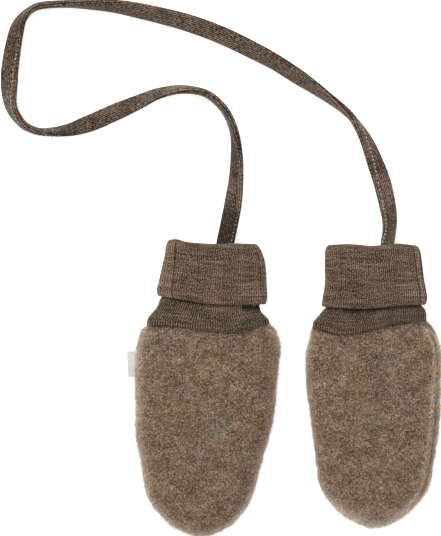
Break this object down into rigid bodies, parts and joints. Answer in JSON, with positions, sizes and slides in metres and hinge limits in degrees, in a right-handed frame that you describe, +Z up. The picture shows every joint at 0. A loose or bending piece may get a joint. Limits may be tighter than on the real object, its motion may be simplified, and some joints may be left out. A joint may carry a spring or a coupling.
{
  "type": "pair of baby mittens on a strap",
  "caption": "Thumbless baby mittens of brushed wool fleece with turned-back rib-knit cuffs, joined cuff to cuff by a long flat jersey strap; the pair lies flat.",
  "frame": {"origin": "centre of the bounding box of the mittens without the strap, on the surface that they lie on", "axes": "+X from the left mitten to the right one, +Y from the mittens' tips towards their cuffs and the strap, +Z up from the surface"},
  "size_m": [0.2289, 0.2789, 0.0094],
  "materials": {
    "fleece": "brushed brown melange wool fleece, short matt nap",
    "rib": "fine brown melange rib knit, matt",
    "strap": "brown melange jersey tube with a light beige chain-stitched line, matt",
    "label": "woven cream-white tape, plain"
  },
  "bodies": {
    "root": {"left_front_panel": "fleece", "left_back_panel": "fleece", "left_rib_cuff": "rib", "right_front_panel": "fleece", "right_back_panel": "fleece", "right_rib_cuff": "rib", "strap": "strap", "side_label": "label"}
  },
  "joints": []
}
